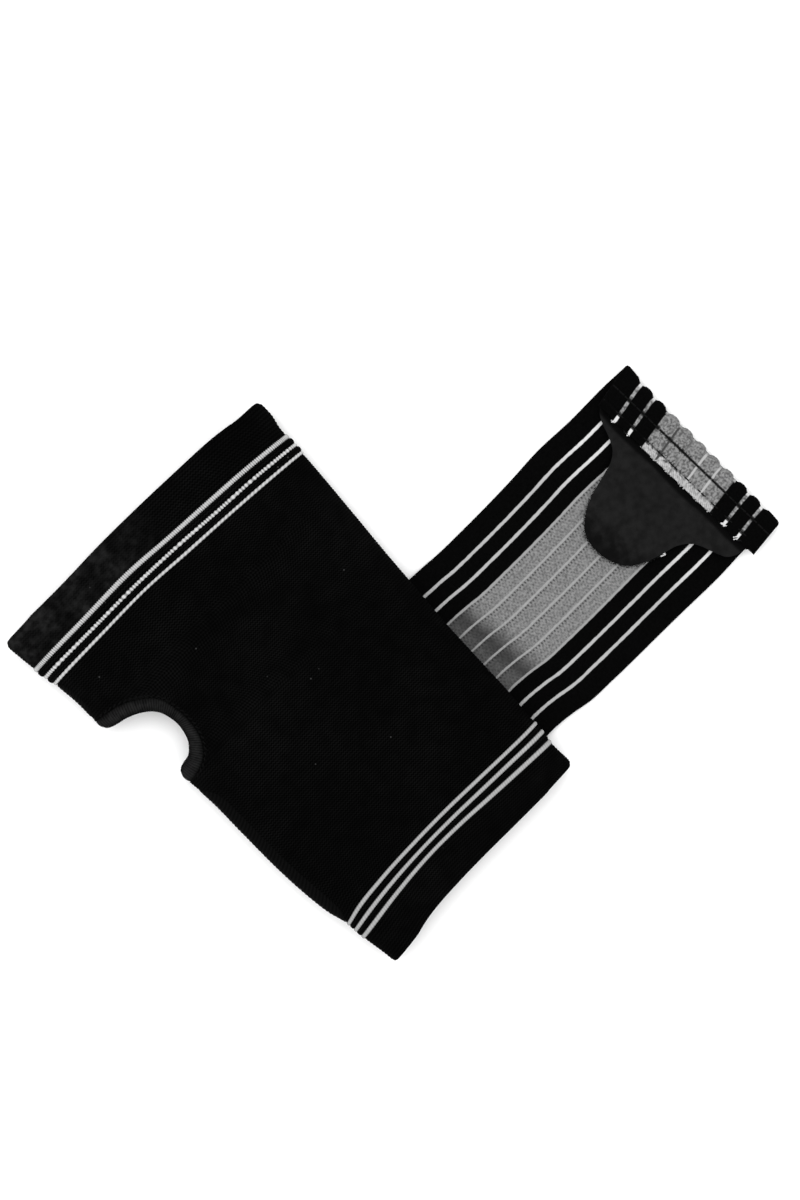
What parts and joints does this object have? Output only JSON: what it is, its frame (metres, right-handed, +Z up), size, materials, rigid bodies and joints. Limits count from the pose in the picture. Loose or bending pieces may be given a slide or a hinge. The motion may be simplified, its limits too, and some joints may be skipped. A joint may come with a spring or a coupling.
{
  "type": "wrist support brace",
  "caption": "Knitted wrist support sleeve with a bound thumb opening, striped cuffs and an elastic wrap strap that ends in a turned-over hook tab.",
  "frame": {"origin": "on the plane the brace lies on, under the middle of its bounding box", "axes": "+X along the strap from the sleeve to the strap's end, +Y along the sleeve from wrist to hand, +Z up"},
  "size_m": [0.1766, 0.1396, 0.0121],
  "materials": {
    "black_knit": "matte ribbed knit",
    "seam_thread": "matte overlock thread",
    "binding_rib": "matte fine rib",
    "light_grey_yarn": "matte yarn",
    "mid_grey_yarn": "matte yarn",
    "strap_webbing": "ribbed elastic webbing",
    "strap_thread": "matte thread",
    "hook_tape": "matte tape"
  },
  "bodies": {
    "sleeve": {"knit_body": "black_knit", "hand_cuff": "black_knit", "wrist_cuff": "black_knit", "hand_stripe_1": "light_grey_yarn", "hand_stripe_2": "light_grey_yarn", "hand_stripe_3": "light_grey_yarn", "wrist_stripe_1": "mid_grey_yarn", "wrist_stripe_2": "mid_grey_yarn", "wrist_stripe_3": "mid_grey_yarn", "side_seam_wrist": "seam_thread", "side_seam_hand": "seam_thread", "thumb_binding": "binding_rib", "thumb_binding_seam": "seam_thread", "strap_root": "strap_webbing", "strap_root_stitches": "seam_thread"},
    "strap_run": {"strap_under_sleeve": "strap_webbing"},
    "strap_bend_1": {"strap_link_1": "strap_webbing"},
    "strap_bend_2": {"strap_link_2": "strap_webbing"},
    "strap_bend_3": {"strap_link_3": "strap_webbing"},
    "strap_bend_4": {"strap_link_4": "strap_webbing"},
    "strap_bend_5": {"strap_link_5": "strap_webbing"},
    "strap_end": {"strap_under_tab": "strap_webbing"},
    "strap_turn": {"strap_turn": "strap_webbing"},
    "tab_end": {"strap_turned_end": "strap_webbing", "hook_tab": "hook_tape", "hook_field": "hook_tape", "end_stitch_row_1": "strap_thread", "end_stitch_row_2": "strap_thread"}
  },
  "joints": [
    {"name": "strap_lift", "type": "hinge", "parent": "sleeve", "child": "strap_run", "pos_m": [-0.06578, -0.03047, 0], "axis": [0, 1, 0], "range_deg": [0, 170]},
    {"name": "strap_wrap_1", "type": "hinge", "parent": "strap_run", "child": "strap_bend_1", "pos_m": [0.0064, -0.03047, 0.0016], "axis": [0, -1, 0], "range_deg": [0, 30]},
    {"name": "strap_wrap_2", "type": "hinge", "parent": "strap_bend_1", "child": "strap_bend_2", "pos_m": [0.01379, -0.03047, 0.0016], "axis": [0, -1, 0], "range_deg": [0, 30]},
    {"name": "strap_wrap_3", "type": "hinge", "parent": "strap_bend_2", "child": "strap_bend_3", "pos_m": [0.02118, -0.03047, 0.0016], "axis": [0, -1, 0], "range_deg": [0, 30]},
    {"name": "strap_wrap_4", "type": "hinge", "parent": "strap_bend_3", "child": "strap_bend_4", "pos_m": [0.02857, -0.03047, 0.0016], "axis": [0, -1, 0], "range_deg": [0, 30]},
    {"name": "strap_wrap_5", "type": "hinge", "parent": "strap_bend_4", "child": "strap_bend_5", "pos_m": [0.03596, -0.03047, 0.0016], "axis": [0, -1, 0], "range_deg": [0, 30]},
    {"name": "strap_wrap_6", "type": "hinge", "parent": "strap_bend_5", "child": "strap_end", "pos_m": [0.04335, -0.03047, 0.0016], "axis": [0, -1, 0], "range_deg": [0, 30]},
    {"name": "tab_open", "type": "hinge", "parent": "strap_end", "child": "strap_turn", "pos_m": [0.08687, -0.03047, 0.0016], "axis": [0, 1, 0], "range_deg": [0, 90]},
    {"name": "tab_unfold", "type": "hinge", "parent": "strap_turn", "child": "tab_end", "pos_m": [0.08687, -0.03047, 0.0031], "axis": [0, 1, 0], "range_deg": [0, 90]}
  ],
  "couplings": [
    {"joint": "strap_wrap_2", "follows": "strap_wrap_1", "ratio": 1},
    {"joint": "strap_wrap_3", "follows": "strap_wrap_1", "ratio": 1},
    {"joint": "strap_wrap_4", "follows": "strap_wrap_1", "ratio": 1},
    {"joint": "strap_wrap_5", "follows": "strap_wrap_1", "ratio": 1},
    {"joint": "strap_wrap_6", "follows": "strap_wrap_1", "ratio": 1},
    {"joint": "tab_unfold", "follows": "tab_open", "ratio": 1}
  ]
}
